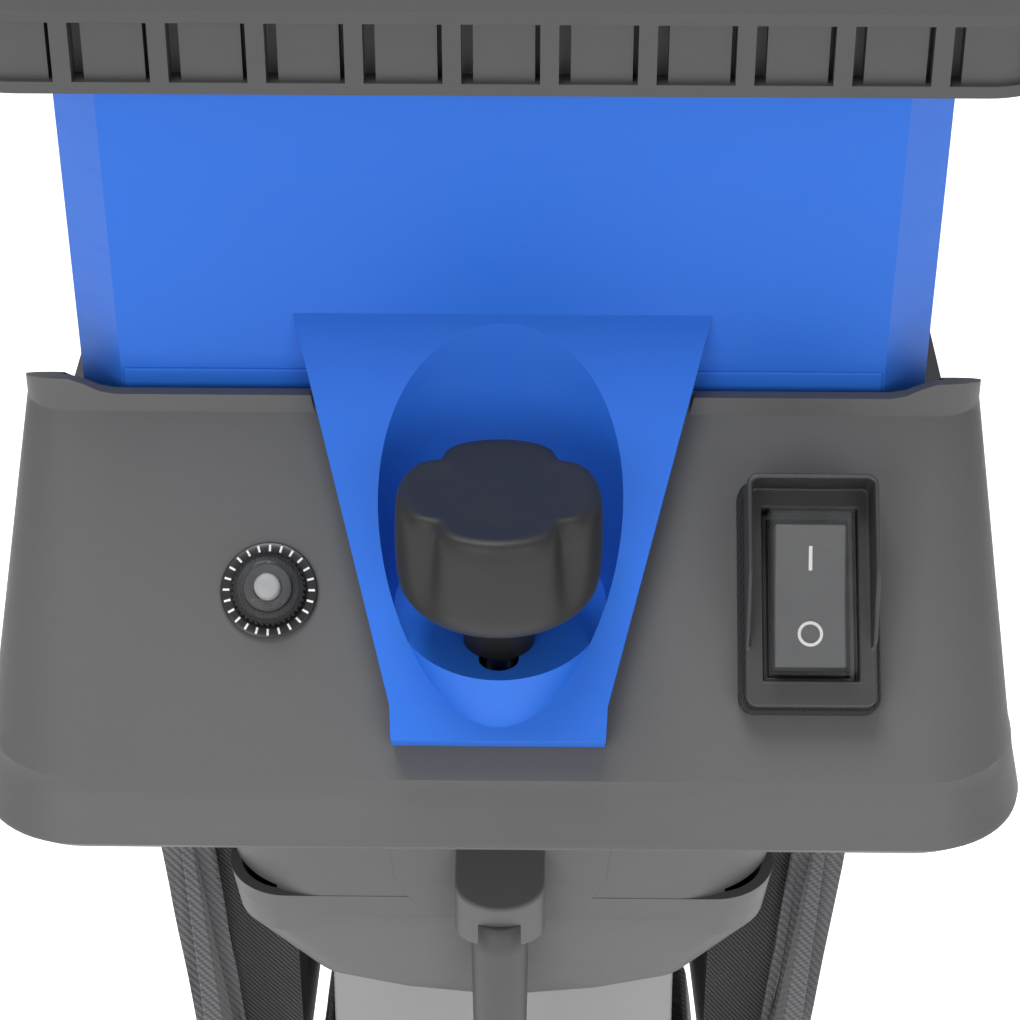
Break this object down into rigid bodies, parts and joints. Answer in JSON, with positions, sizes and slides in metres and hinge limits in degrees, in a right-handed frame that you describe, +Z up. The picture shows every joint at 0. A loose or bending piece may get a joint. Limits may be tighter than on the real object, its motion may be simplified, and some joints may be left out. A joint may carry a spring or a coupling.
{
  "type": "wood chipper",
  "caption": "Electric garden wood chipper on a wheeled tube stand, with tilting hopper, lock knob, rocker switch, reset button, discharge chute and collection bag.",
  "frame": {"origin": "floor level, middle of the stand", "axes": "+X to the user's right, +Y to the rear, +Z up"},
  "size_m": [0.466, 0.43, 1.048],
  "materials": {
    "black_shell": "fine moulded texture",
    "blue_shell": "satin moulded",
    "grey_shell": "fine moulded texture",
    "black_plastic": "satin",
    "knob_black": "satin",
    "rocker_grey": "satin",
    "clear": "clear soft cover",
    "soft_black": "matte",
    "label_black": "printed label",
    "button_white": "satin",
    "tyre": "ribbed",
    "steel": "machined",
    "brass": "turned",
    "cast_alloy": "cast",
    "black_tube": "gloss powder coat",
    "bag_fabric": "twill weave"
  },
  "bodies": {
    "base": {"upper_housing": "black_shell", "motor_housing": "grey_shell", "discharge_chute": "grey_shell", "motor_cover": "grey_shell", "base_plate": "black_plastic", "switch_bezel": "black_plastic", "switch_body": "black_plastic", "breaker_body": "black_plastic", "cord_gland": "black_plastic", "axle_sockets": "black_plastic", "axle_caps": "black_plastic", "bag_hooks": "black_plastic", "interlock_switch": "black_plastic", "bearing_bridge": "black_plastic", "switch_cover": "clear", "reset_cap": "clear", "switch_gasket": "soft_black", "bend_relief": "soft_black", "cord": "soft_black", "plug": "soft_black", "rubber_feet": "soft_black", "breaker_ring": "label_black", "hinge_pins": "steel", "base_screws": "steel", "spindle_bearings": "steel", "wheel_axle": "steel", "plug_pins": "steel", "breaker_nut": "steel", "stator": "steel", "lock_insert": "brass", "spindle_carrier": "cast_alloy", "left_frame": "black_tube", "right_frame": "black_tube", "frame_brackets": "black_tube", "front_crossbar": "black_tube", "rear_crossbar": "black_tube", "collection_bag": "bag_fabric", "bag_straps": "bag_fabric"},
    "hopper": {"hopper_body": "blue_shell", "hopper_rim": "black_shell", "feed_flap": "soft_black"},
    "knob_washer": {"knob_washer": "steel"},
    "knob": {"lock_knob": "knob_black", "lock_screw": "steel"},
    "rocker": {"switch_rocker": "rocker_grey"},
    "reset": {"reset_button": "button_white"},
    "cutter": {"blade_disc": "steel", "blades": "steel", "blade_bolts": "steel", "spindle": "steel", "drive_gear": "steel"},
    "motor": {"motor_shaft": "steel", "rotor": "steel", "commutator": "brass", "motor_fan": "black_plastic", "pinion": "steel"},
    "left_wheel": {"left_wheel_hub": "black_plastic", "left_tyre": "tyre"},
    "right_wheel": {"right_wheel_hub": "black_plastic", "right_tyre": "tyre"}
  },
  "joints": [
    {"name": "hopper_tilt", "type": "hinge", "parent": "base", "child": "hopper", "pos_m": [0, 0.121, 0.885], "axis": [-1, 0, 0], "range_deg": [0, 75]},
    {"name": "knob_lift", "type": "slide", "parent": "hopper", "child": "knob_washer", "axis": [0, 0, 1], "range_m": [0, 0.0101]},
    {"name": "knob_turn", "type": "hinge", "parent": "knob_washer", "child": "knob", "pos_m": [0, -0.147, 0.9], "axis": [0, 0, 1], "range_deg": [0, 2880]},
    {"name": "switch_rock", "type": "hinge", "parent": "base", "child": "rocker", "pos_m": [0.078, -0.13551, 0.90298], "axis": [1, 0, 0], "range_deg": [-18, 0]},
    {"name": "reset_press", "type": "slide", "parent": "base", "child": "reset", "axis": [0, -0.7071, 0.7071], "range_m": [-0.0025, 0], "stiffness_N_per_m": 200},
    {"name": "cutter_spin", "type": "hinge", "parent": "base", "child": "cutter", "pos_m": [0, 0.015, 0.9], "axis": [0, 0, 1], "continuous": true},
    {"name": "motor_spin", "type": "hinge", "parent": "base", "child": "motor", "pos_m": [0, 0.06375, 0.74], "axis": [0, 0, 1], "continuous": true},
    {"name": "left_wheel_spin", "type": "hinge", "parent": "base", "child": "left_wheel", "pos_m": [-0.206, 0.14, 0.075], "axis": [1, 0, 0], "continuous": true},
    {"name": "right_wheel_spin", "type": "hinge", "parent": "base", "child": "right_wheel", "pos_m": [0.206, 0.14, 0.075], "axis": [1, 0, 0], "continuous": true}
  ],
  "couplings": [
    {"joint": "motor_spin", "follows": "cutter_spin", "ratio": -4},
    {"joint": "knob_lift", "follows": "knob_turn", "m_per_rad": 0.00019894}
  ]
}
